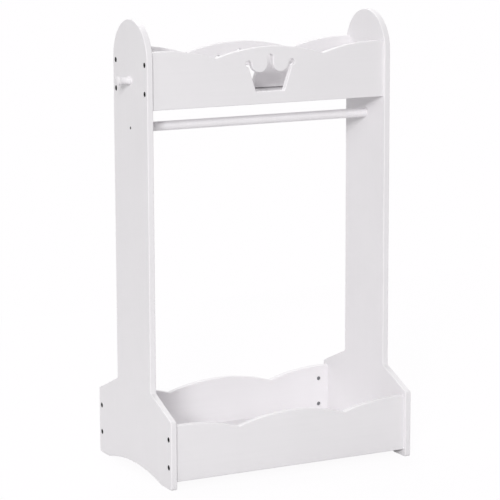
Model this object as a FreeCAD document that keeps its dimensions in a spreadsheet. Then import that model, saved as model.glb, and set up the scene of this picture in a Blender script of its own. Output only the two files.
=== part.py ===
import FreeCAD, Part
import os
from math import acos, atan2, cos, pi, sin, sqrt
from types import SimpleNamespace

import Sketcher
from FreeCAD import Placement, Rotation, Vector

# Child's clothes rack in painted board: two side panels, a scalloped bin on top, a rod and a base tray.
# Millimetres. The origin is on the floor under the middle, +Z is up, the front faces -Y and +X is its right.

# Driving sizes
SIZES = {
    # Over the two side panels
    "overall_width": "640",
    "base_depth": "400",
    "overall_height": "1065",
    # Side panels
    "side_board": "15",
    "upright_depth": "184",
    "shoulder_height": "160",
    "shoulder_rise": "46",
    "foot_length": "52",
    "arch_rise": "19.5",
    "corner_round": "6",
    "shoulder_blend": "8",
    "edge_round": "2",
    # Long scalloped panels of the bin and the tray
    "panel_board": "15",
    "panel_height": "133.5",
    "panel_setback": "6.5",
    "scallop_pitch": "280",
    "scallop_rise": "22",
    "valley_round": "6",
    "bin_drop": "69.5",
    "tray_lift": "17.5",
    # Crown cut-outs: their margins in the panel, then their rounds, measured down from their top and side by side
    "crown_foot_margin": "28.5",
    "crown_top_margin": "18",
    "crown_foot_width": "74",
    "crown_corner_round": "3",
    "crown_ball_radius": "7.5",
    "crown_ball_drop": "21",
    "crown_ball_gap": "0.5",
    "crown_lobe_radius": "21",
    "crown_lobe_drop": "20.5",
    "crown_lobe_gap": "14",
    # Shelf of the bin and floor of the tray
    "shelf_board": "15",
    "shelf_lift": "2.5",
    "floor_board": "15",
    "floor_lift": "5",
    # Tongues along the shelf, and the grooves in the bin's panels that they lie in
    "tongue_board": "6",
    "tongue_length": "7",
    "groove_depth": "8",
    "groove_slack": "3",
    # Hanging rod and its screws
    "rod_diameter": "22",
    "rod_drop": "47",
    "screw_diameter": "3.5",
    "screw_head_diameter": "6.5",
    "screw_length": "45",
    "screw_recess_width": "1",
    "screw_recess_span": "2.8",
    "screw_recess_depth": "1.2",
    # Bolts and barrel nuts: the lifts are from the middle of a panel's height to the middle of its bolts
    "bolt_diameter": "6",
    "bolt_length": "40",
    "bolt_head_diameter": "12",
    "bolt_head_height": "6",
    "bolt_sink": "0.5",
    "bolt_socket_flats": "5",
    "bolt_socket_depth": "3",
    "bolt_overrun": "0.5",
    "bolt_pitch": "66",
    "bin_bolt_lift": "4.25",
    "tray_bolt_lift": "0.75",
    "nut_diameter": "10",
    "nut_length": "11",
    "nut_slot_width": "1.5",
    "nut_slot_depth": "1.2",
    # Dowels of the shelf and the floor
    "dowel_diameter": "8",
    "dowel_length": "30",
    "dowel_in_side": "10",
    "dowel_chamfer": "1",
    "shelf_dowel_spacing": "80",
    "floor_dowel_spacing": "240",
    # Pegs
    "peg_drop": "140",
    "peg_reach": "35.5",
    "peg_dome": "3",
    "peg_rim_width": "4",
    "peg_rim_diameter": "20",
    "peg_waist_diameter": "15",
    "peg_spigot_diameter": "10",
    "peg_spigot_length": "10",
    # Clearances: all round a shank or a plug, and past the end of what is in a blind hole
    "bolt_clearance": "0.25",
    "nut_clearance": "0.2",
    "thread_clearance": "0.1",
    "wood_clearance": "0.1",
    "end_clearance": "0.5",
}

doc = FreeCAD.newDocument("kids_clothing_rack")
sheet = doc.addObject("Spreadsheet::Sheet", "dims")
for row, (alias, text) in enumerate(SIZES.items(), start=1):
    sheet.set(f"A{row}", alias)
    sheet.set(f"B{row}", text)
    sheet.setAlias(f"B{row}", alias)
doc.recompute()


class Size:
    """A length, held both as a number and as the expression over the sheet that gives it."""

    def __init__(self, value, text):
        self.value = value
        self.text = text

    def joined(self, sign, other, value):
        return Size(value, f"({self.text} {sign} {other.text})")

    def __add__(self, other):
        other = as_size(other)
        return self.joined("+", other, self.value + other.value)

    def __sub__(self, other):
        other = as_size(other)
        return self.joined("-", other, self.value - other.value)

    def __mul__(self, other):
        other = as_size(other)
        return self.joined("*", other, self.value * other.value)

    def __truediv__(self, other):
        other = as_size(other)
        return self.joined("/", other, self.value / other.value)

    def __neg__(self):
        return Size(-self.value, f"(0 - {self.text})")


def as_size(number):
    return number if isinstance(number, Size) else Size(float(number), repr(float(number)))


def square_root(size):
    return Size(sqrt(size.value), f"sqrt({size.text})")


def arch_radius(half_chord, rise):
    """Radius of an arc from half its chord and its rise."""
    return (half_chord * half_chord + rise * rise) / (rise * 2)


dims = SimpleNamespace(**{alias: Size(float(sheet.get(alias)), f"dims.{alias}") for alias in SIZES})

# Places and holes that several pieces share
half_width = dims.overall_width / 2
half_span = half_width - dims.side_board
half_base = dims.base_depth / 2
half_upright = dims.upright_depth / 2
half_board = dims.panel_board / 2
bin_mid = half_upright - dims.panel_setback - half_board
tray_mid = half_base - dims.panel_setback - half_board
bin_under = dims.overall_height - dims.bin_drop - dims.panel_height
tray_under = dims.tray_lift
lobe_x = dims.crown_lobe_gap / 2 + dims.crown_lobe_radius
crown_tip_x = lobe_x + dims.crown_lobe_radius + dims.crown_ball_radius + dims.crown_ball_gap
crown_top = dims.panel_height - dims.crown_top_margin
crown_tip = (crown_tip_x, crown_top - dims.crown_ball_drop)
crown_foot = (dims.crown_foot_width / 2, dims.crown_foot_margin)
shelf_under = bin_under + dims.shelf_lift
floor_under = tray_under + dims.floor_lift
rod_axis = bin_under - dims.rod_drop
peg_axis = dims.overall_height - dims.peg_drop
lower_bolt = dims.panel_height / 2 - dims.bolt_pitch / 2
bin_bolt_rise = lower_bolt + dims.bin_bolt_lift
tray_bolt_rise = lower_bolt + dims.tray_bolt_lift
bolt_seat = dims.bolt_sink + dims.bolt_head_height
bolt_tip = bolt_seat + dims.bolt_length - dims.side_board
nut_axis = half_span - bolt_tip + dims.bolt_overrun + dims.nut_diameter / 2
bolt_hole = dims.bolt_diameter + dims.bolt_clearance * 2
head_hole = dims.bolt_head_diameter + dims.bolt_clearance * 2
nut_hole = dims.nut_diameter + dims.nut_clearance * 2
nut_thread = dims.bolt_diameter + dims.thread_clearance * 2
dowel_hole = dims.dowel_diameter + dims.wood_clearance * 2
peg_hole = dims.peg_spigot_diameter + dims.wood_clearance * 2
screw_hole = dims.screw_diameter + dims.thread_clearance * 2
screw_head_hole = dims.screw_head_diameter + dims.thread_clearance * 2

FULL_TURN = 360
HALF_TURN = 180
# A right-angled cone is as deep as it is wide past the shank
COUNTERSINK_ANGLE = 90
TOLERANCE = 1e-4

# How a sketch numbers a geometry's points and its own origin
START, END, CENTRE = range(1, 4)
SKETCH_ORIGIN = (-1, 1)

pieces = []


def bind(thing, sizes):
    for name, size in sizes.items():
        thing.setExpression(name, as_size(size).text)


def new_body(label, x=0, y=0, z=0, turned=0):
    """Start a piece whose own origin is at (x, y, z), turned about Z by so many degrees."""
    body = doc.addObject("PartDesign::Body", label)
    body.Label = label
    body.Placement = Placement(Vector(), Rotation(Vector(0, 0, 1), turned))
    bind(body, {"Placement.Base.x": x, "Placement.Base.y": y, "Placement.Base.z": z})
    pieces.append(body)
    return body


def origin(body, role):
    return next(feature for feature in body.Origin.OriginFeatures if feature.Role == role)


def new_sketch(body, plane, name, lift=0):
    """A sketch on one of the body's origin planes, lifted along that plane's normal."""
    sketch = body.newObject("Sketcher::SketchObject", f"{body.Name}_{name}")
    sketch.AttachmentSupport = [(origin(body, plane), "")]
    sketch.MapMode = "FlatFace"
    bind(sketch, {"AttachmentOffset.Base.z": lift})
    return sketch


def point(x, y):
    return Vector(as_size(x).value, as_size(y).value, 0)


def at_angle(centre, radius, angle):
    return centre + Vector(cos(angle), sin(angle), 0) * radius


def arc_geometry(centre, radius, first, last):
    """An arc that runs anticlockwise from the first angle to the last."""
    return Part.ArcOfCircle(Part.Circle(centre, Vector(0, 0, 1), radius), first, last)


def datum(sketch, kind, where, size):
    """Add one dimension and bind it to the sheet; where lists the geometry and points that it measures."""
    index = sketch.addConstraint(Sketcher.Constraint(kind, *where, size.value))
    sketch.setExpression(f"Constraints[{index}]", size.text)


def hold(sketch, geometry, end, x, y):
    """Fix a point of a geometry at (x, y) from the sketch's origin."""
    there = (geometry, end)
    for kind, aligned, place in (("DistanceX", "Vertical", x), ("DistanceY", "Horizontal", y)):
        size = as_size(place)
        if size.value == 0:
            sketch.addConstraint(Sketcher.Constraint(aligned, *there, *SKETCH_ORIGIN))
        elif size.value > 0:
            datum(sketch, kind, (*SKETCH_ORIGIN, *there), size)
        else:
            datum(sketch, kind, (*there, *SKETCH_ORIGIN), -size)


def bent_run(begin, finish, radius, side):
    """An arc of under half a turn between two points; side is 1 to turn left and -1 to turn right."""
    chord = finish - begin
    across = Vector(-chord.y, chord.x, 0).normalize() * side
    centre = begin + chord / 2 + across * sqrt(radius ** 2 - (chord.Length / 2) ** 2)
    ends = (begin, finish) if side > 0 else (finish, begin)
    first, last = (atan2(end.y - centre.y, end.x - centre.x) for end in ends)
    return arc_geometry(centre, radius, first, last if last > first else last + 2 * pi)


def outline(sketch, corners):
    """Draw a closed outline through the corners, each held by the sheet.

    A corner is (x, y), or (x, y, radius, side) where an arc leads to the next corner."""
    runs = []
    for (x, y, *bend), after in zip(corners, corners[1:] + corners[:1]):
        begin, finish = point(x, y), point(*after[:2])
        if bend:
            radius, side = bend
            geometry = sketch.addGeometry(bent_run(begin, finish, radius.value, side), False)
            datum(sketch, "Radius", (geometry,), radius)
            first, last = (START, END) if side > 0 else (END, START)
        else:
            geometry = sketch.addGeometry(Part.LineSegment(begin, finish), False)
            first, last = START, END
        hold(sketch, geometry, first, x, y)
        runs.append((geometry, first, last))
    for (before, _, last), (after, first, _) in zip(runs, runs[1:] + runs[:1]):
        sketch.addConstraint(Sketcher.Constraint("Coincident", before, last, after, first))


def circles(sketch, diameter, centres):
    for x, y in centres:
        ring = Part.Circle(point(x, y), Vector(0, 0, 1), diameter.value / 2)
        geometry = sketch.addGeometry(ring, False)
        hold(sketch, geometry, CENTRE, x, y)
        datum(sketch, "Diameter", (geometry,), diameter)


def pad(body, sketch, length, middle=False, backwards=False):
    feature = body.newObject("PartDesign::Pad", f"{sketch.Name}_pad")
    feature.Profile = sketch
    feature.Midplane = middle
    feature.Reversed = backwards
    bind(feature, {"Length": length})
    doc.recompute()


def turn(body, sketch):
    """Turn a sketched profile about the sketch's horizontal axis."""
    feature = body.newObject("PartDesign::Revolution", f"{sketch.Name}_turned")
    feature.Profile = sketch
    feature.ReferenceAxis = (sketch, ["H_Axis"])
    feature.Angle = FULL_TURN
    doc.recompute()
    return feature


def finish_cut(body, feature, volume_before):
    """Build a cut and make sure that it took something away."""
    doc.recompute()
    if body.Shape.Volume >= volume_before:
        raise RuntimeError(f"{feature.Name} cuts nothing")
    return feature


def cut(body, sketch, depth=None, backwards=False):
    """Cut a sketch away, to a depth, or right through both ways where no depth is given."""
    volume = body.Shape.Volume
    feature = body.newObject("PartDesign::Pocket", f"{sketch.Name}_cut")
    feature.Profile = sketch
    feature.Reversed = backwards
    if depth is None:
        feature.Type = "ThroughAll"
        feature.Midplane = True
    else:
        bind(feature, {"Length": depth})
    return finish_cut(body, feature, volume)


def drill(body, sketch, backwards, kind, sizes):
    """Drill right through at each circle of a sketch, with a counterbore or countersink on its side."""
    volume = body.Shape.Volume
    feature = body.newObject("PartDesign::Hole", f"{sketch.Name}_hole")
    feature.Profile = sketch
    doc.recompute()
    feature.Reversed = backwards
    feature.DepthType = "ThroughAll"
    feature.HoleCutType = kind
    feature.HoleCutCountersinkAngle = COUNTERSINK_ANGLE
    bind(feature, sizes)
    return finish_cut(body, feature, volume)


def lies_at(edge, axis, *places):
    """Whether a whole edge lies in a plane across the axis at one of the places."""
    low, high = getattr(edge.BoundBox, f"{axis}Min"), getattr(edge.BoundBox, f"{axis}Max")
    return high - low < TOLERANCE and any(abs(low - as_size(place).value) < TOLERANCE for place in places)


def round_edges(body, name, radius, wanted):
    """Round the edges of the piece so far that are wanted."""
    base = body.Tip
    edges = [f"Edge{index}" for index, edge in enumerate(base.Shape.Edges, start=1) if wanted(edge)]
    feature = body.newObject("PartDesign::Fillet", f"{body.Name}_{name}")
    feature.Base = (base, edges)
    bind(feature, {"Radius": radius})
    doc.recompute()


def mirror_ends(body, originals):
    """Mirror features to the other end of the rack."""
    across = body.newObject("PartDesign::Mirrored", f"{body.Name}_ends")
    across.Originals = originals
    across.MirrorPlane = (origin(body, "YZ_Plane"), [""])
    body.Tip = across
    doc.recompute()


def repeat(body, originals, axis, spacing):
    """Repeat features once along an axis, and mirror the pair to the other end of the rack."""
    copies = body.newObject("PartDesign::MultiTransform", f"{body.Name}_copies")
    copies.Originals = originals
    along = body.newObject("PartDesign::LinearPattern", f"{body.Name}_pair")
    along.Direction = (origin(body, axis), [""])
    along.Occurrences = 2
    bind(along, {"Length": spacing})
    across = body.newObject("PartDesign::Mirrored", f"{body.Name}_ends")
    across.MirrorPlane = (origin(body, "YZ_Plane"), [""])
    copies.Transformations = [along, across]
    body.Tip = copies
    doc.recompute()


def side_panel(label, hand):
    """A side panel with its outer face on its own YZ plane; hand is -1 on the left and 1 on the right."""
    body = new_body(label, x=half_width * hand)
    inner_face = dims.side_board * -hand
    inwards = hand > 0
    half_arch = half_base - dims.foot_length
    neck = dims.shoulder_height + dims.shoulder_rise
    head = dims.overall_height - half_upright

    shape = new_sketch(body, "YZ_Plane", "outline")
    outline(shape, [
        (-half_base, 0),
        (-half_arch, 0, arch_radius(half_arch, dims.arch_rise), -1),
        (half_arch, 0),
        (half_base, 0),
        (half_base, dims.shoulder_height),
        (half_upright, neck),
        (half_upright, head, half_upright, 1),
        (0, dims.overall_height, half_upright, 1),
        (-half_upright, head),
        (-half_upright, neck),
        (-half_base, dims.shoulder_height),
    ])
    pad(body, shape, dims.side_board, backwards=inwards)

    def corner(edge):
        on_foot = lies_at(edge, "Y", half_arch, -half_arch, half_base, -half_base)
        return on_foot and lies_at(edge, "Z", 0, dims.shoulder_height)

    round_edges(body, "corners", dims.corner_round, corner)
    round_edges(body, "shoulders", dims.shoulder_blend, lambda edge: lies_at(edge, "Z", neck))
    round_edges(body, "edges", dims.edge_round, lambda edge: lies_at(edge, "X", 0, inner_face))

    bolts = new_sketch(body, "YZ_Plane", "bolts")
    rows = [(bin_mid, bin_under + bin_bolt_rise), (tray_mid, tray_under + tray_bolt_rise)]
    for mid, low in rows:
        circles(bolts, bolt_hole, [(y, z) for y in (-mid, mid) for z in (low, low + dims.bolt_pitch)])
    counterbore = {"Diameter": bolt_hole, "HoleCutDiameter": head_hole, "HoleCutDepth": bolt_seat}
    drill(body, bolts, not inwards, "Counterbore", counterbore)

    screw = new_sketch(body, "YZ_Plane", "screw")
    circles(screw, screw_hole, [(0, rod_axis)])
    countersink = {"Diameter": screw_hole, "HoleCutDiameter": screw_head_hole}
    drill(body, screw, not inwards, "Countersink", countersink)

    peg_socket = new_sketch(body, "YZ_Plane", "peg")
    circles(peg_socket, peg_hole, [(0, peg_axis)])
    cut(body, peg_socket, dims.peg_spigot_length + dims.end_clearance, not inwards)

    dowel_sockets = new_sketch(body, "YZ_Plane", "dowels", inner_face)
    boards = [(dims.shelf_dowel_spacing / 2, shelf_under + dims.shelf_board / 2),
              (dims.floor_dowel_spacing / 2, floor_under + dims.floor_board / 2)]
    circles(dowel_sockets, dowel_hole, [(y, z) for half, z in boards for y in (-half, half)])
    cut(body, dowel_sockets, dims.dowel_in_side + dims.end_clearance, inwards)


def touch_angle(centre, other, reach, side):
    """Angle at a circle's centre to where a line touches the circle, as the line runs on to another place.

    The reach is the circle's radius, and also that of a circle which the line touches at the other place."""
    run = other - centre
    return atan2(run.y, run.x) + side * acos(reach.value / run.Length)


def crown(sketch):
    """A crown: a flat foot, flared sides, and two round lobes that hang between three points with balls.

    Each side runs from the foot up to the underside of an outer ball."""
    both = dims.crown_lobe_radius + dims.crown_ball_radius
    lobe = (lobe_x, crown_top - dims.crown_lobe_drop)
    peak = (as_size(0), crown_top - dims.crown_ball_radius)
    outer = touch_angle(point(*lobe), point(*crown_tip), both, -1)
    inner = touch_angle(point(*lobe), point(*peak), both, 1)

    # Rounds in turn from the right: place, radius, first and last angle, and whether the outline goes round
    # them anticlockwise, as over the balls, or clockwise, as under the lobes
    rounds = [
        (crown_tip, dims.crown_ball_radius, -pi / 2, outer + pi, True),
        (lobe, dims.crown_lobe_radius, inner, outer + 2 * pi, False),
        (peak, dims.crown_ball_radius, inner - pi, 2 * pi - inner, True),
    ]
    for (x, y), radius, first, last, follows in reversed(rounds[:2]):
        rounds.append(((-x, y), radius, pi - last, pi - first, follows))

    foot_x, foot_y = crown_foot
    left_foot, right_foot = point(-foot_x, foot_y), point(foot_x, foot_y)
    base = sketch.addGeometry(Part.LineSegment(left_foot, right_foot), False)
    hold(sketch, base, START, -foot_x, foot_y)
    hold(sketch, base, END, foot_x, foot_y)
    place, join, meets = right_foot, ("Coincident", base, END), "Coincident"
    for (x, y), radius, first, last, follows in rounds:
        ends = [at_angle(point(x, y), radius.value, angle) for angle in (first, last)]
        run_in, run_out = ends if follows else reversed(ends)
        begin, finish = (START, END) if follows else (END, START)
        line = sketch.addGeometry(Part.LineSegment(place, run_in), False)
        arc = sketch.addGeometry(arc_geometry(point(x, y), radius.value, first, last), False)
        hold(sketch, arc, CENTRE, x, y)
        datum(sketch, "Radius", (arc,), radius)
        sketch.addConstraint(Sketcher.Constraint(*join, line, START))
        sketch.addConstraint(Sketcher.Constraint(meets, line, END, arc, begin))
        if meets == "Coincident":
            datum(sketch, "DistanceX", (*SKETCH_ORIGIN, arc, begin), crown_tip_x)
        place, join, meets = run_out, ("Tangent", arc, finish), "Tangent"
    line = sketch.addGeometry(Part.LineSegment(place, left_foot), False)
    sketch.addConstraint(Sketcher.Constraint("Coincident", arc, finish, line, START))
    datum(sketch, "DistanceX", (arc, finish, *SKETCH_ORIGIN), crown_tip_x)
    sketch.addConstraint(Sketcher.Constraint("Coincident", line, END, base, START))


def cut_crown(body):
    """Cut the crown through a long panel, with its corners and both its edges rounded."""
    neck = (crown_tip_x, crown_tip[1] - dims.crown_ball_radius)
    window = new_sketch(body, "XZ_Plane", "crown")
    crown(window)
    cut(body, window)
    short_of_valley = (dims.scallop_pitch / 2 - dims.valley_round).value

    def corner(edge):
        return any(lies_at(edge, "X", x, -x) and lies_at(edge, "Z", z) for x, z in (crown_foot, neck))

    def window_edge(edge):
        in_crown = max(-edge.BoundBox.XMin, edge.BoundBox.XMax) < short_of_valley
        return in_crown and lies_at(edge, "Y", half_board, -half_board)

    round_edges(body, "crown_corners", dims.crown_corner_round, corner)
    round_edges(body, "crown_edges", dims.edge_round, window_edge)


def cut_groove(body):
    """Cut a groove along a long panel's inner face for the shelf's tongue, with slack above the tongue."""
    low = dims.shelf_lift + dims.shelf_board - dims.tongue_board
    high = low + dims.tongue_board + dims.groove_slack
    groove = new_sketch(body, "XZ_Plane", "groove", -half_board)
    outline(groove, [(-half_span, low), (half_span, low), (half_span, high), (-half_span, high)])
    cut(body, groove, dims.groove_depth, backwards=True)


def long_panel(label, mid, under, bolt_rise, facing, of_bin):
    """A scalloped panel, centred on its own XZ plane; facing is -1 at the front and 1 at the back."""
    body = new_body(label, y=mid * facing, z=under, turned=0 if facing < 0 else HALF_TURN)
    valley = dims.scallop_pitch / 2
    valley_height = dims.panel_height - dims.scallop_rise
    radius = arch_radius(valley, dims.scallop_rise)
    past_peak = half_span - dims.scallop_pitch
    end_height = dims.panel_height - radius + square_root(radius * radius - past_peak * past_peak)
    shape = new_sketch(body, "XZ_Plane", "outline")
    outline(shape, [
        (-half_span, 0),
        (half_span, 0),
        (half_span, end_height, radius, 1),
        (valley, valley_height, radius, 1),
        (-valley, valley_height, radius, 1),
        (-half_span, end_height),
    ])
    pad(body, shape, dims.panel_board, middle=True)

    def long_edge(edge):
        on_face = lies_at(edge, "Y", half_board, -half_board)
        return on_face and not lies_at(edge, "X", half_span, -half_span)

    round_edges(body, "valleys", dims.valley_round, lambda edge: lies_at(edge, "X", valley, -valley))
    round_edges(body, "edges", dims.edge_round, long_edge)
    if of_bin:
        cut_crown(body)
        cut_groove(body)

    heights = [bolt_rise, bolt_rise + dims.bolt_pitch]
    bolt_ends = new_sketch(body, "YZ_Plane", "bolts", half_span)
    circles(bolt_ends, bolt_hole, [(0, z) for z in heights])
    bolt_cut = cut(body, bolt_ends, bolt_tip + dims.end_clearance)
    # The barrel nuts go in from the inner face, the panel's own +Y face, and stop short of the outer one
    nuts = new_sketch(body, "XZ_Plane", "nuts", -half_board)
    circles(nuts, nut_hole, [(nut_axis, z) for z in heights])
    nut_cut = cut(body, nuts, half_board + dims.nut_length / 2, backwards=True)
    mirror_ends(body, [bolt_cut, nut_cut])


def flat_board(label, front, back, under, board, dowel_spacing):
    """A plain board between the side panels, from the front to the back, with dowel holes in its ends."""
    body = new_body(label, z=under)
    shape = new_sketch(body, "XY_Plane", "outline")
    outline(shape, [(-half_span, front), (half_span, front), (half_span, back), (-half_span, back)])
    pad(body, shape, board)
    dowel_ends = new_sketch(body, "YZ_Plane", "dowels", half_span)
    circles(dowel_ends, dowel_hole, [(y, board / 2) for y in (-dowel_spacing / 2, dowel_spacing / 2)])
    in_board = dims.dowel_length - dims.dowel_in_side + dims.end_clearance
    mirror_ends(body, [cut(body, dowel_ends, in_board)])
    return body


def top_shelf():
    """The bin's shelf, with a tongue along each long edge that lies in the groove of a panel."""
    inner = bin_mid - half_board
    reach = inner + dims.tongue_length
    body = flat_board("top_shelf", -inner, inner, shelf_under, dims.shelf_board, dims.shelf_dowel_spacing)
    tongues = new_sketch(body, "XY_Plane", "tongues", dims.shelf_board - dims.tongue_board)
    for side in (-1, 1):
        near, far = inner * side, reach * side
        outline(tongues, [(-half_span, near), (half_span, near), (half_span, far), (-half_span, far)])
    pad(body, tongues, dims.tongue_board)


def base_floor():
    """The tray's floor, which fills it from the front panel to the back one."""
    inner = tray_mid - half_board
    flat_board("base_floor", -inner, inner, floor_under, dims.floor_board, dims.floor_dowel_spacing)


def panel_bolts(label, y, z):
    """Four socket-head bolts, a pair at each end of one long panel, drawn at the left end."""
    body = new_body(label, y=y, z=z)
    top = -half_width + dims.bolt_sink
    seat = -half_width + bolt_seat
    tip = seat + dims.bolt_length
    head_radius = dims.bolt_head_diameter / 2
    radius = dims.bolt_diameter / 2
    profile = new_sketch(body, "XZ_Plane", "profile")
    outline(profile, [
        (top, 0), (top, head_radius), (seat, head_radius), (seat, radius), (tip, radius), (tip, 0)])
    bolt = turn(body, profile)
    flat = dims.bolt_socket_flats / 2
    corner = flat / cos(pi / 6)
    socket = new_sketch(body, "YZ_Plane", "socket", top)
    outline(socket, [
        (corner, 0), (corner / 2, flat), (-corner / 2, flat),
        (-corner, 0), (-corner / 2, -flat), (corner / 2, -flat)])
    socket_cut = cut(body, socket, dims.bolt_socket_depth, backwards=True)
    repeat(body, [bolt, socket_cut], "Z_Axis", dims.bolt_pitch)


def barrel_nuts(label, y, z, facing):
    """Four barrel nuts across the bolts of one long panel, each with a slot towards its inner face."""
    body = new_body(label, y=y, z=z, turned=0 if facing < 0 else HALF_TURN)
    half_length = dims.nut_length / 2
    radius = dims.nut_diameter / 2
    half_slot = dims.nut_slot_width / 2
    profile = new_sketch(body, "YZ_Plane", "profile", nut_axis)
    outline(profile, [(-half_length, 0), (half_length, 0), (half_length, radius), (-half_length, radius)])
    barrel = turn(body, profile)
    thread = new_sketch(body, "YZ_Plane", "thread")
    circles(thread, nut_thread, [(0, 0)])
    thread_cut = cut(body, thread)
    slot = new_sketch(body, "XZ_Plane", "slot", -half_length)
    near, far = nut_axis - radius, nut_axis + radius
    outline(slot, [(near, -half_slot), (far, -half_slot), (far, half_slot), (near, half_slot)])
    slot_cut = cut(body, slot, dims.nut_slot_depth, backwards=True)
    repeat(body, [barrel, thread_cut, slot_cut], "Z_Axis", dims.bolt_pitch)


def board_dowels(label, z, spacing):
    """Four chamfered dowels, a pair at each end of one board, drawn at the right end."""
    body = new_body(label, y=-spacing / 2, z=z)
    far = half_span + dims.dowel_in_side
    near = far - dims.dowel_length
    radius = dims.dowel_diameter / 2
    profile = new_sketch(body, "XZ_Plane", "profile")
    outline(profile, [
        (near, 0),
        (far, 0),
        (far, radius - dims.dowel_chamfer),
        (far - dims.dowel_chamfer, radius),
        (near + dims.dowel_chamfer, radius),
        (near, radius - dims.dowel_chamfer),
    ])
    repeat(body, [turn(body, profile)], "Y_Axis", spacing)


def hanging_rod():
    """A round rod between the side panels, with a pilot hole in each end."""
    body = new_body("hanging_rod", z=rod_axis)
    section = new_sketch(body, "YZ_Plane", "section")
    circles(section, dims.rod_diameter, [(0, 0)])
    pad(body, section, half_span * 2, middle=True)
    pilot = new_sketch(body, "YZ_Plane", "pilot", half_span)
    circles(pilot, screw_hole, [(0, 0)])
    mirror_ends(body, [cut(body, pilot, dims.screw_length - dims.side_board + dims.end_clearance)])


def rod_screws():
    """Two countersunk screws with crossed recesses, through the side panels into the ends of the rod."""
    body = new_body("rod_screws", z=rod_axis)
    head_radius = dims.screw_head_diameter / 2
    radius = dims.screw_diameter / 2
    tip = half_width - dims.screw_length
    profile = new_sketch(body, "XZ_Plane", "profile")
    outline(profile, [
        (tip, 0),
        (half_width, 0),
        (half_width, head_radius),
        (half_width - head_radius + radius, radius),
        (tip + dims.screw_diameter, radius),
    ])
    screw = turn(body, profile)
    arm = dims.screw_recess_span / 2
    side = dims.screw_recess_width / 2
    recess = new_sketch(body, "YZ_Plane", "recess", half_width)
    outline(recess, [
        (arm, -side), (arm, side), (side, side), (side, arm), (-side, arm), (-side, side),
        (-arm, side), (-arm, -side), (-side, -side), (-side, -arm), (side, -arm), (side, -side)])
    mirror_ends(body, [screw, cut(body, recess, dims.screw_recess_depth)])


def peg(label, hand):
    """A turned peg with a waist, a domed head and a spigot, standing out from a side panel's outer face."""
    body = new_body(label, x=half_width * hand, z=peg_axis, turned=0 if hand > 0 else HALF_TURN)
    rim = dims.peg_rim_diameter / 2
    spigot = dims.peg_spigot_diameter / 2
    dome_start = dims.peg_reach - dims.peg_dome
    head_start = dome_start - dims.peg_rim_width
    half_waist = (head_start - dims.peg_rim_width) / 2
    waist_depth = (dims.peg_rim_diameter - dims.peg_waist_diameter) / 2
    profile = new_sketch(body, "XZ_Plane", "profile")
    outline(profile, [
        (-dims.peg_spigot_length, 0),
        (dims.peg_reach, 0, arch_radius(rim, dims.peg_dome), 1),
        (dome_start, rim),
        (head_start, rim, arch_radius(half_waist, waist_depth), -1),
        (dims.peg_rim_width, rim),
        (0, rim),
        (0, spigot),
        (-dims.peg_spigot_length, spigot),
    ])
    turn(body, profile)


side_panel("left_side_panel", -1)
side_panel("right_side_panel", 1)
for place, mid, under, bolt_rise in (
        ("top", bin_mid, bin_under, bin_bolt_rise),
        ("base", tray_mid, tray_under, tray_bolt_rise)):
    for end, facing in (("front", -1), ("back", 1)):
        name = f"{place}_{end}"
        long_panel(f"{name}_panel", mid, under, bolt_rise, facing, of_bin=place == "top")
        panel_bolts(f"{name}_bolts", mid * facing, under + bolt_rise)
        barrel_nuts(f"{name}_barrel_nuts", mid * facing, under + bolt_rise, facing)
top_shelf()
base_floor()
board_dowels("shelf_dowels", shelf_under + dims.shelf_board / 2, dims.shelf_dowel_spacing)
board_dowels("floor_dowels", floor_under + dims.floor_board / 2, dims.floor_dowel_spacing)
hanging_rod()
rod_screws()
peg("left_peg", -1)
peg("right_peg", 1)
doc.recompute()

failed = [thing.Name for thing in doc.Objects if {"Invalid", "Error"} & set(thing.State)]
if failed:
    raise RuntimeError(f"these did not build: {failed}")
for piece in pieces:
    if piece.Shape.isNull() or not piece.Shape.isValid():
        raise RuntimeError(f"{piece.Label} has no valid shape")

os.makedirs("parts", exist_ok=True)
for piece in pieces:
    piece.Shape.exportStep(f"parts/{piece.Label}.step")
    print(f"{piece.Label}: {len(piece.Shape.Solids)} solids, {piece.Shape.Volume:.1f} mm3")
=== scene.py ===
from math import cos, radians, sin

import bmesh
import bpy
from bpy.props import FloatProperty, FloatVectorProperty, PointerProperty
from bpy.types import Operator, Panel, PropertyGroup
from mathutils import Matrix, Vector


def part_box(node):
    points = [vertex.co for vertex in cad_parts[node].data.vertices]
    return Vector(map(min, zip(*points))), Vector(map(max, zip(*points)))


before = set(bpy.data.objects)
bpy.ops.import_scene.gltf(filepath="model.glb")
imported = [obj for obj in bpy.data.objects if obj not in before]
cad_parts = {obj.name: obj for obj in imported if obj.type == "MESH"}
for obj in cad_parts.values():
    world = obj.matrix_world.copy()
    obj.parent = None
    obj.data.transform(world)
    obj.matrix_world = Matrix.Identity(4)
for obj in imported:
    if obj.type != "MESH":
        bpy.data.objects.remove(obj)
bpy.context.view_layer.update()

bl_info = {
    "name": "Child's clothes rack",
    "version": (1, 0, 0),
    "blender": (4, 5, 0),
    "location": "3D View > Sidebar > Clothes rack",
    "description": "Finishes and studio stage for a child's clothes rack in white painted board",
    "category": "Object",
}


def linear(text):
    """A colour written as sRGB hex, as the linear red, green, blue and alpha that Blender works in."""
    levels = [int(text[at:at + 2], 16) / 255 for at in (1, 3, 5)]
    return [x / 12.92 if x <= 0.04045 else ((x + 0.055) / 1.055) ** 2.4 for x in levels] + [1.0]


# The axis that a board's grain runs along.
ALONG_RACK, UPRIGHT = 0, 2

# A Mix node's two colour sockets and its mixed colour, by number, because their names aren't unique on it.
FIRST, SECOND, MIXED = 6, 7, 2

WOOD_IOR = 1.5  # of paint, lacquer and bare wood alike
GRAIN_SHARE = 0.4  # how much the grain counts in the paint's tone, where the clouds count as 1
PAINT_RELIEF = 0.0003  # metres, height of what stands up through paint and lacquer
BARE_RELIEF = 0.0001  # metres, height of what stands up on bare metal and wood

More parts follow.
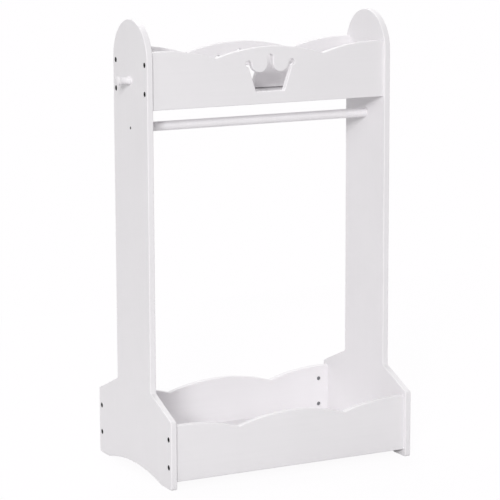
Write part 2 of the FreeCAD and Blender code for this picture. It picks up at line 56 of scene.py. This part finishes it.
STUDIO_WHITE = linear("#fffeff")
FLOOR_SHADE = linear("#d6d5d6")  # the floor's colour in the light that it throws back on the rack
SENSOR_WIDTH = 36  # millimetres
CLIP_END = 200  # metres, far past the floor and the lamps
LAMP_DISTANCE = 9  # metres from the middle of the rack to each softbox

# Each softbox's degrees round to the right of the front, degrees up, and width and height in metres.
SOFTBOXES = {
    "key": (-39, 17.5, 1.1, 0.7),
    "high": (-33, 26, 1.1, 0.7),
    "left": (-70, 17.5, 1.1, 0.7),
    "back": (170, 60, 5, 5),
    "right": (100, 15, 5, 5),
}


def colour(name, description, text):
    return FloatVectorProperty(
        name=name, description=description, subtype="COLOR", size=4, min=0, max=1, default=linear(text))


def length(name, description, metres):
    return FloatProperty(name=name, description=description, unit="LENGTH", min=0.0001, default=metres)


def amount(name, description, value):
    return FloatProperty(name=name, description=description, min=0, default=value)


def power(name, description, watts):
    return FloatProperty(name=name, description=description, unit="POWER", min=0, default=watts)


def angle(name, description, degrees):
    return FloatProperty(name=name, description=description, subtype="ANGLE", default=radians(degrees))


class RackFinish(PropertyGroup):
    """Colours of the rack's finishes and the sizes of their patterns."""
    board_paint: colour("Board paint", "Satin white paint on the boards", "#ebe9eb")
    board_shade: colour("Board paint shade", "The paint where it lies a little thinner", "#e8e6e8")
    stipple: length("Stipple", "Width of the spray's stipple in the paint", 0.007)
    grain_width: length("Grain width", "Width of the board's grain under the paint", 0.006)
    grain_length: length("Grain length", "Length of the board's grain under the paint", 0.22)
    cloud: length("Cloud", "Width of the slow changes in the paint's tone", 0.16)
    # The rod and the pegs carry one lacquer on the real rack. The rod's two tones are painted lighter than
    # the pegs' to stand in for light that the lamps don't give the rod: painted light.
    rod_lacquer_painted_lighter: colour("Rod lacquer", "Satin white lacquer on the hanging rod", "#f1eff1")
    rod_shade_painted_lighter: colour("Rod lacquer shade", "The rod's lacquer in the lathe's rings", "#eceaec")
    # The pegs' two tones are painted darker than the rod's, as painted shade that keeps the directly lit pegs
    # from showing too bright.
    peg_lacquer_painted_darker: colour("Peg lacquer", "Satin white lacquer on the pegs", "#e7e5e7")
    peg_shade_painted_darker: colour("Peg lacquer shade", "The pegs' lacquer in the lathe's rings", "#e2e0e2")
    lathe_ring: length("Lathe ring", "Width of the lathe's rings under the lacquer", 0.005)
    bolt_black: colour("Bolt black", "Black oxide on the bolts and the rod's screws", "#1a1a1c")
    bolt_bare: colour("Bolt bare", "The steel where the black has rubbed thin", "#2e2e30")
    bolt_speck: length("Bolt speck", "Width of the specks where the black has rubbed thin", 0.0012)
    nut_zinc: colour("Nut zinc", "Bright zinc on the barrel nuts", "#9b9da0")
    nut_dull: colour("Nut dull", "The zinc where it has dulled", "#7c7e81")
    nut_cloud: length("Nut cloud", "Width of the dull clouds in the zinc", 0.003)
    scratch_width: length("Scratch width", "Width of the lathe's scratches on the nuts", 0.0004)
    scratch_length: length("Scratch length", "Length of the lathe's scratches on the nuts", 0.004)
    beech: colour("Beech", "Pale wood of the dowels", "#d0ab83")
    beech_dark: colour("Beech grain", "Darker grain of the dowels", "#b98f66")
    beech_width: length("Beech grain width", "Width of the dowels' grain", 0.0008)
    beech_length: length("Beech grain length", "Length of the dowels' grain", 0.012)


class RackStage(PropertyGroup):
    """Floor, light and camera round the rack."""
    floor_size: length("Floor size", "Width and depth of the floor", 3.5)
    floor_glow: amount("Floor glow", "Share of plain white in the floor as the camera sees it", 0.95)
    ambient: amount("Ambient", "Strength of the even light from all round", 0.395)
    key_power: power("Key power", "Power of the softbox at the front left", 264)
    high_power: power("High power", "Power of the softbox over the key", 203)
    left_power: power("Left power", "Power of the softbox at the left", 51)
    back_power: power("Back power", "Power of the softbox behind and above", 390)
    right_power: power("Right power", "Power of the softbox at the right", 105)
    azimuth: angle("Azimuth", "How far round to the right of the front the camera stands", -27.674)
    elevation: angle("Elevation", "How far the camera looks down", 10.264)
    roll: angle("Roll", "Tilt of the camera about its own line of sight", -0.176)
    distance: length("Distance", "From the camera to the point that it looks at", 5.536252)
    look_height: length("Look height", "Height of the point that the camera looks at", 0.501811)
    look_aside: FloatProperty(
        name="Look aside", description="How far to the right of the middle the camera looks", unit="LENGTH",
        default=-0.009341)
    lens: FloatProperty(
        name="Lens", description="Focal length on a 36 mm sensor", subtype="DISTANCE_CAMERA", default=166.891)


def add(tree, kind, inputs=(), **settings):
    """Add a node with its settings; an input is a socket to link from or a value to set."""
    node = tree.nodes.new(kind)
    for name, value in settings.items():
        setattr(node, name, value)
    for name, value in dict(inputs).items():
        if isinstance(value, bpy.types.NodeSocket):
            tree.links.new(value, node.inputs[name])
        else:
            node.inputs[name].default_value = value
    return node


def new_material(name, even_values):
    """A material whose shader has its even values set on its own sockets."""
    material = bpy.data.materials.new(name)
    material.use_nodes = True
    shader = material.node_tree.nodes["Principled BSDF"]
    for socket, value in even_values.items():
        shader.inputs[socket].default_value = value
    return material, material.node_tree, shader


def lead_in(tree, shader, tint, sheen, skin):
    """Link a finish's colour, roughness and relief to its shader."""
    tree.links.new(tint.outputs[MIXED], shader.inputs["Base Color"])
    tree.links.new(sheen.outputs[0], shader.inputs["Roughness"])
    tree.links.new(skin.outputs[0], shader.inputs["Normal"])


def give(material, *names):
    """Put a material on the named pieces of the frame."""
    for name in names:
        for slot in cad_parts[name].material_slots:
            slot.material = material


def painted_board(name, grain_axis):
    """Satin paint sprayed on routed board.

    It is a plain, clean white with a low sheen: the spray leaves a fine stipple, the board's grain just shows
    as long faint streaks, and the tone drifts a little over a hand's width. The real stipple is about 2 mm
    wide and is drawn coarser, so that it shows."""
    finish = bpy.context.scene.rack_finish
    material, tree, shader = new_material(name, {"IOR": WOOD_IOR})
    place = add(tree, "ShaderNodeTexCoord").outputs["Object"]
    stretch = [1 / finish.grain_width] * 3
    stretch[grain_axis] = 1 / finish.grain_length
    streaks = add(tree, "ShaderNodeMapping", {"Vector": place, "Scale": stretch})
    grain = add(tree, "ShaderNodeTexNoise", {"Vector": streaks.outputs[0], "Scale": 1, "Detail": 2})
    cloud = add(tree, "ShaderNodeTexNoise", {"Vector": place, "Scale": 1 / finish.cloud, "Detail": 3})
    stipple = add(tree, "ShaderNodeTexNoise", {"Vector": place, "Scale": 1 / finish.stipple, "Detail": 1})
    tone = add(
        tree, "ShaderNodeMath", {0: grain.outputs["Fac"], 1: GRAIN_SHARE, 2: cloud.outputs["Fac"]},
        operation="MULTIPLY_ADD")
    share = add(tree, "ShaderNodeMapRange", {"Value": tone.outputs[0], "From Min": 0.45, "From Max": 0.95})
    paint = add(
        tree, "ShaderNodeMix",
        {"Factor": share.outputs[0], FIRST: finish.board_paint, SECOND: finish.board_shade},
        data_type="RGBA")
    sheen = add(
        tree, "ShaderNodeMapRange", {"Value": stipple.outputs["Fac"], "To Min": 0.36, "To Max": 0.46})
    under = add(
        tree, "ShaderNodeBump",
        {"Height": grain.outputs["Fac"], "Strength": 0.03, "Distance": PAINT_RELIEF})
    skin = add(
        tree, "ShaderNodeBump",
        {"Height": stipple.outputs["Fac"], "Strength": 0.06, "Distance": PAINT_RELIEF,
         "Normal": under.outputs[0]})
    lead_in(tree, shader, paint, sheen, skin)
    return material


def lacquered_wood(name, lacquer, shade):
    """Satin lacquer on turned wood.

    The lathe leaves fine rings round the rod and the pegs, which the lacquer softens to faint bands. The real
    rings are about 1 mm wide and are drawn coarser, so that they show."""
    finish = bpy.context.scene.rack_finish
    material, tree, shader = new_material(name, {"IOR": WOOD_IOR})
    place = add(tree, "ShaderNodeTexCoord").outputs["Object"]
    flat = add(tree, "ShaderNodeMapping", {"Vector": place, "Scale": (1 / finish.lathe_ring, 0, 0)})
    rings = add(tree, "ShaderNodeTexNoise", {"Vector": flat.outputs[0], "Scale": 1, "Detail": 2})
    cloud = add(tree, "ShaderNodeTexNoise", {"Vector": place, "Scale": 1 / finish.cloud, "Detail": 3})
    tone = add(tree, "ShaderNodeMath", {0: rings.outputs["Fac"], 1: cloud.outputs["Fac"]}, operation="ADD")
    share = add(tree, "ShaderNodeMapRange", {"Value": tone.outputs[0], "From Min": 0.7, "From Max": 1.3})
    paint = add(
        tree, "ShaderNodeMix", {"Factor": share.outputs[0], FIRST: lacquer, SECOND: shade}, data_type="RGBA")
    sheen = add(tree, "ShaderNodeMapRange", {"Value": rings.outputs["Fac"], "To Min": 0.3, "To Max": 0.4})
    skin = add(
        tree, "ShaderNodeBump",
        {"Height": rings.outputs["Fac"], "Strength": 0.1, "Distance": PAINT_RELIEF})
    lead_in(tree, shader, paint, sheen, skin)
    return material


def black_steel():
    """Black-oxide steel, tumbled.

    Almost black with a dull shine, rubbed a shade lighter in specks a millimetre or so wide."""
    finish = bpy.context.scene.rack_finish
    material, tree, shader = new_material("black_oxide_steel", {"Metallic": 1.0})
    place = add(tree, "ShaderNodeTexCoord").outputs["Object"]
    rub = add(tree, "ShaderNodeTexNoise", {"Vector": place, "Scale": 1 / finish.bolt_speck, "Detail": 3})
    black = add(
        tree, "ShaderNodeMix",
        {"Factor": rub.outputs["Fac"], FIRST: finish.bolt_black, SECOND: finish.bolt_bare},
        data_type="RGBA")
    sheen = add(tree, "ShaderNodeMapRange", {"Value": rub.outputs["Fac"], "To Min": 0.38, "To Max": 0.55})
    skin = add(
        tree, "ShaderNodeBump",
        {"Height": rub.outputs["Fac"], "Strength": 0.15, "Distance": BARE_RELIEF})
    lead_in(tree, shader, black, sheen, skin)
    return material


def zinc_steel():
    """Bright zinc plating on turned steel.

    A cool grey metal, clouded where the plating has dulled, with the lathe's fine scratches."""
    finish = bpy.context.scene.rack_finish
    material, tree, shader = new_material("zinc_plated_steel", {"Metallic": 1.0})
    place = add(tree, "ShaderNodeTexCoord").outputs["Object"]
    cloud = add(tree, "ShaderNodeTexNoise", {"Vector": place, "Scale": 1 / finish.nut_cloud, "Detail": 4})
    zinc = add(
        tree, "ShaderNodeMix",
        {"Factor": cloud.outputs["Fac"], FIRST: finish.nut_zinc, SECOND: finish.nut_dull},
        data_type="RGBA")
    sheen = add(tree, "ShaderNodeMapRange", {"Value": cloud.outputs["Fac"], "To Min": 0.28, "To Max": 0.48})
    along, across = 1 / finish.scratch_length, 1 / finish.scratch_width
    flat = add(tree, "ShaderNodeMapping", {"Vector": place, "Scale": (along, across, along)})
    lathe = add(tree, "ShaderNodeTexNoise", {"Vector": flat.outputs[0], "Scale": 1, "Detail": 1})
    skin = add(
        tree, "ShaderNodeBump",
        {"Height": lathe.outputs["Fac"], "Strength": 0.15, "Distance": BARE_RELIEF})
    lead_in(tree, shader, zinc, sheen, skin)
    return material


def plain_beech():
    """Beech, planed and unpainted.

    A pale tan wood with close straight grain along the dowel and short darker flecks."""
    finish = bpy.context.scene.rack_finish
    material, tree, shader = new_material("plain_beech", {"IOR": WOOD_IOR})
    place = add(tree, "ShaderNodeTexCoord").outputs["Object"]
    along, across = 1 / finish.beech_length, 1 / finish.beech_width
    stretch = add(tree, "ShaderNodeMapping", {"Vector": place, "Scale": (along, across, across)})
    grain = add(tree, "ShaderNodeTexNoise", {"Vector": stretch.outputs[0], "Scale": 1, "Detail": 3})
    share = add(
        tree, "ShaderNodeMapRange", {"Value": grain.outputs["Fac"], "From Min": 0.35, "From Max": 0.65})
    wood = add(
        tree, "ShaderNodeMix",
        {"Factor": share.outputs[0], FIRST: finish.beech, SECOND: finish.beech_dark},
        data_type="RGBA")
    sheen = add(tree, "ShaderNodeMapRange", {"Value": grain.outputs["Fac"], "To Min": 0.5, "To Max": 0.65})
    skin = add(
        tree, "ShaderNodeBump",
        {"Height": grain.outputs["Fac"], "Strength": 0.2, "Distance": BARE_RELIEF})
    lead_in(tree, shader, wood, sheen, skin)
    return material


class RACK_OT_side_panels(Operator):
    """Paint the two side panels, with the board's grain upright"""
    bl_idname = "rack.side_panels"
    bl_label = "Side panels"

    def execute(self, context):
        give(painted_board("satin_paint_on_upright_board", UPRIGHT), "left_side_panel", "right_side_panel")
        return {"FINISHED"}


class RACK_OT_bin_and_tray(Operator):
    """Paint the boards of the top bin and the base tray, with the grain along the rack"""
    bl_idname = "rack.bin_and_tray"
    bl_label = "Bin and tray"

    def execute(self, context):
        paint = painted_board("satin_paint_on_long_board", ALONG_RACK)
        give(paint, "top_front_panel", "top_back_panel", "top_shelf")
        give(paint, "base_front_panel", "base_back_panel", "base_floor")
        return {"FINISHED"}


class RACK_OT_rod_and_pegs(Operator):
    """Lacquer the hanging rod and the two pegs"""
    bl_idname = "rack.rod_and_pegs"
    bl_label = "Rod and pegs"

    def execute(self, context):
        finish = context.scene.rack_finish
        # The rod gets the lacquer painted lighter and the pegs get it painted darker: painted light and shade
        # on what is one lacquer.
        give(lacquered_wood("satin_lacquer_on_rod", finish.rod_lacquer_painted_lighter, finish.rod_shade_painted_lighter), "hanging_rod")
        pegs = lacquered_wood("satin_lacquer_on_pegs", finish.peg_lacquer_painted_darker, finish.peg_shade_painted_darker)
        give(pegs, "left_peg", "right_peg")
        return {"FINISHED"}


class RACK_OT_bolts_and_screws(Operator):
    """Blacken the panel bolts and the rod's screws"""
    bl_idname = "rack.bolts_and_screws"
    bl_label = "Bolts and screws"

    def execute(self, context):
        black = black_steel()
        give(black, "top_front_bolts", "top_back_bolts", "base_front_bolts", "base_back_bolts")
        give(black, "rod_screws")
        return {"FINISHED"}


class RACK_OT_barrel_nuts(Operator):
    """Plate the barrel nuts with zinc"""
    bl_idname = "rack.barrel_nuts"
    bl_label = "Barrel nuts"

    def execute(self, context):
        zinc = zinc_steel()
        give(zinc, "top_front_barrel_nuts", "top_back_barrel_nuts")
        give(zinc, "base_front_barrel_nuts", "base_back_barrel_nuts")
        return {"FINISHED"}


class RACK_OT_dowels(Operator):
    """Give the dowels of the shelf and the floor their wood"""
    bl_idname = "rack.dowels"
    bl_label = "Dowels"

    def execute(self, context):
        give(plain_beech(), "shelf_dowels", "floor_dowels")
        return {"FINISHED"}


def seen_directly(tree):
    """A factor that is 1 for what the camera, a reflection or a see-through surface shows."""
    path = add(tree, "ShaderNodeLightPath").outputs
    shown = add(
        tree, "ShaderNodeMath", {0: path["Is Camera Ray"], 1: path["Is Glossy Ray"]}, operation="MAXIMUM")
    return add(
        tree, "ShaderNodeMath", {0: shown.outputs[0], 1: path["Is Transmission Ray"]},
        operation="MAXIMUM").outputs[0]


def studio_floor(settings):
    """A square matt white floor. It shows as plain white and keeps a faint shadow of the rack."""
    mesh = bpy.data.meshes.new("floor")
    sketch = bmesh.new()
    bmesh.ops.create_grid(sketch, x_segments=1, y_segments=1, size=settings.floor_size / 2)
    sketch.to_mesh(mesh)
    sketch.free()
    floor = bpy.data.objects.new("floor", mesh)
    bpy.context.scene.collection.objects.link(floor)
    material = bpy.data.materials.new("matt_white_floor")
    material.use_nodes = True
    tree = material.node_tree
    tree.nodes.remove(tree.nodes["Principled BSDF"])
    shown = seen_directly(tree)
    pale = add(
        tree, "ShaderNodeMix", {"Factor": shown, FIRST: FLOOR_SHADE, SECOND: STUDIO_WHITE}, data_type="RGBA")
    matt = add(tree, "ShaderNodeBsdfDiffuse", {"Color": pale.outputs[MIXED]})
    glow = add(tree, "ShaderNodeEmission", {"Color": STUDIO_WHITE, "Strength": 1.0})
    share = add(tree, "ShaderNodeMath", {0: shown, 1: settings.floor_glow}, operation="MULTIPLY")
    both = add(tree, "ShaderNodeMixShader", {0: share.outputs[0], 1: matt.outputs[0], 2: glow.outputs[0]})
    tree.links.new(both.outputs[0], tree.nodes["Material Output"].inputs["Surface"])
    mesh.materials.append(material)


def studio_air(settings):
    """A world that shows as plain white and gives the rack an even, weaker light."""
    world = bpy.data.worlds.new("studio")
    bpy.context.scene.world = world
    world.use_nodes = True
    tree = world.node_tree
    even = add(
        tree, "ShaderNodeMapRange",
        {"Value": seen_directly(tree), "To Min": settings.ambient, "To Max": 1.0})
    sky = tree.nodes["Background"]
    sky.inputs["Color"].default_value = STUDIO_WHITE
    tree.links.new(even.outputs[0], sky.inputs["Strength"])


def way_from(azimuth, elevation):
    """The direction out from the rack, so far round to the right of its front and so far up."""
    level = cos(elevation)
    return Vector((sin(azimuth) * level, -cos(azimuth) * level, sin(elevation)))


def softbox(name, azimuth, elevation, width, height, watts):
    """A softbox, so many degrees round from the front and up, turned towards the middle of the rack."""
    lamp = bpy.data.lights.new(name, "AREA")
    lamp.shape = "RECTANGLE"
    lamp.size = width
    lamp.size_y = height
    lamp.energy = watts
    holder = bpy.data.objects.new(name, lamp)
    way = way_from(radians(azimuth), radians(elevation))
    middle = Vector((0, 0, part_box("left_side_panel")[1].z / 2))
    holder.location = middle + way * LAMP_DISTANCE
    holder.rotation_mode = "QUATERNION"
    holder.rotation_quaternion = (-way).to_track_quat("-Z", "Y")
    bpy.context.scene.collection.objects.link(holder)


def studio_camera(settings):
    """A long lens at the front left, a little higher than the rack, which it looks down on."""
    back = way_from(settings.azimuth, settings.elevation)
    right = Vector((cos(settings.azimuth), sin(settings.azimuth), 0))
    look_at = Vector((0, 0, settings.look_height)) + right * settings.look_aside
    upright = Matrix((right, back.cross(right), back)).transposed()
    camera = bpy.data.objects.new("camera", bpy.data.cameras.new("camera"))
    camera.data.sensor_width = SENSOR_WIDTH
    camera.data.lens = settings.lens
    camera.data.clip_end = CLIP_END
    turned = upright @ Matrix.Rotation(settings.roll, 3, "Z")
    camera.matrix_world = Matrix.Translation(look_at + back * settings.distance) @ turned.to_4x4()
    bpy.context.scene.collection.objects.link(camera)
    bpy.context.scene.camera = camera


class RACK_OT_stage(Operator):
    """Set up the floor, the air, the lamps and the camera"""
    bl_idname = "rack.stage"
    bl_label = "Stage"

    def execute(self, context):
        settings = context.scene.rack_stage
        studio_floor(settings)
        studio_air(settings)
        for name, (azimuth, elevation, width, height) in SOFTBOXES.items():
            softbox(name, azimuth, elevation, width, height, getattr(settings, f"{name}_power"))
        studio_camera(settings)
        context.scene.view_settings.view_transform = "Standard"
        return {"FINISHED"}


class RACK_PT_sidebar(Panel):
    """Finishes and stage of the clothes rack"""
    bl_idname = "RACK_PT_sidebar"
    bl_label = "Clothes rack"
    bl_space_type = "VIEW_3D"
    bl_region_type = "UI"
    bl_category = "Clothes rack"

    def draw(self, context):
        for settings, steps in ((context.scene.rack_finish, PIECES), (context.scene.rack_stage, STAGE)):
            box = self.layout.box()
            for name in settings.__annotations__:
                box.prop(settings, name)
            for step in steps:
                box.operator(step.bl_idname)


PIECES = (
    RACK_OT_side_panels,
    RACK_OT_bin_and_tray,
    RACK_OT_rod_and_pegs,
    RACK_OT_bolts_and_screws,
    RACK_OT_barrel_nuts,
    RACK_OT_dowels,
)
STAGE = (RACK_OT_stage,)
CLASSES = (RackFinish, RackStage, *PIECES, *STAGE, RACK_PT_sidebar)


def register():
    for kind in CLASSES:
        bpy.utils.register_class(kind)
    bpy.types.Scene.rack_finish = PointerProperty(type=RackFinish)
    bpy.types.Scene.rack_stage = PointerProperty(type=RackStage)


def unregister():
    del bpy.types.Scene.rack_stage
    del bpy.types.Scene.rack_finish
    for kind in reversed(CLASSES):
        bpy.utils.unregister_class(kind)


def main():
    register()
    bpy.ops.rack.side_panels()
    bpy.ops.rack.bin_and_tray()
    bpy.ops.rack.rod_and_pegs()
    bpy.ops.rack.bolts_and_screws()
    bpy.ops.rack.barrel_nuts()
    bpy.ops.rack.dowels()
    bpy.ops.rack.stage()


if __name__ == "__main__":
    main()
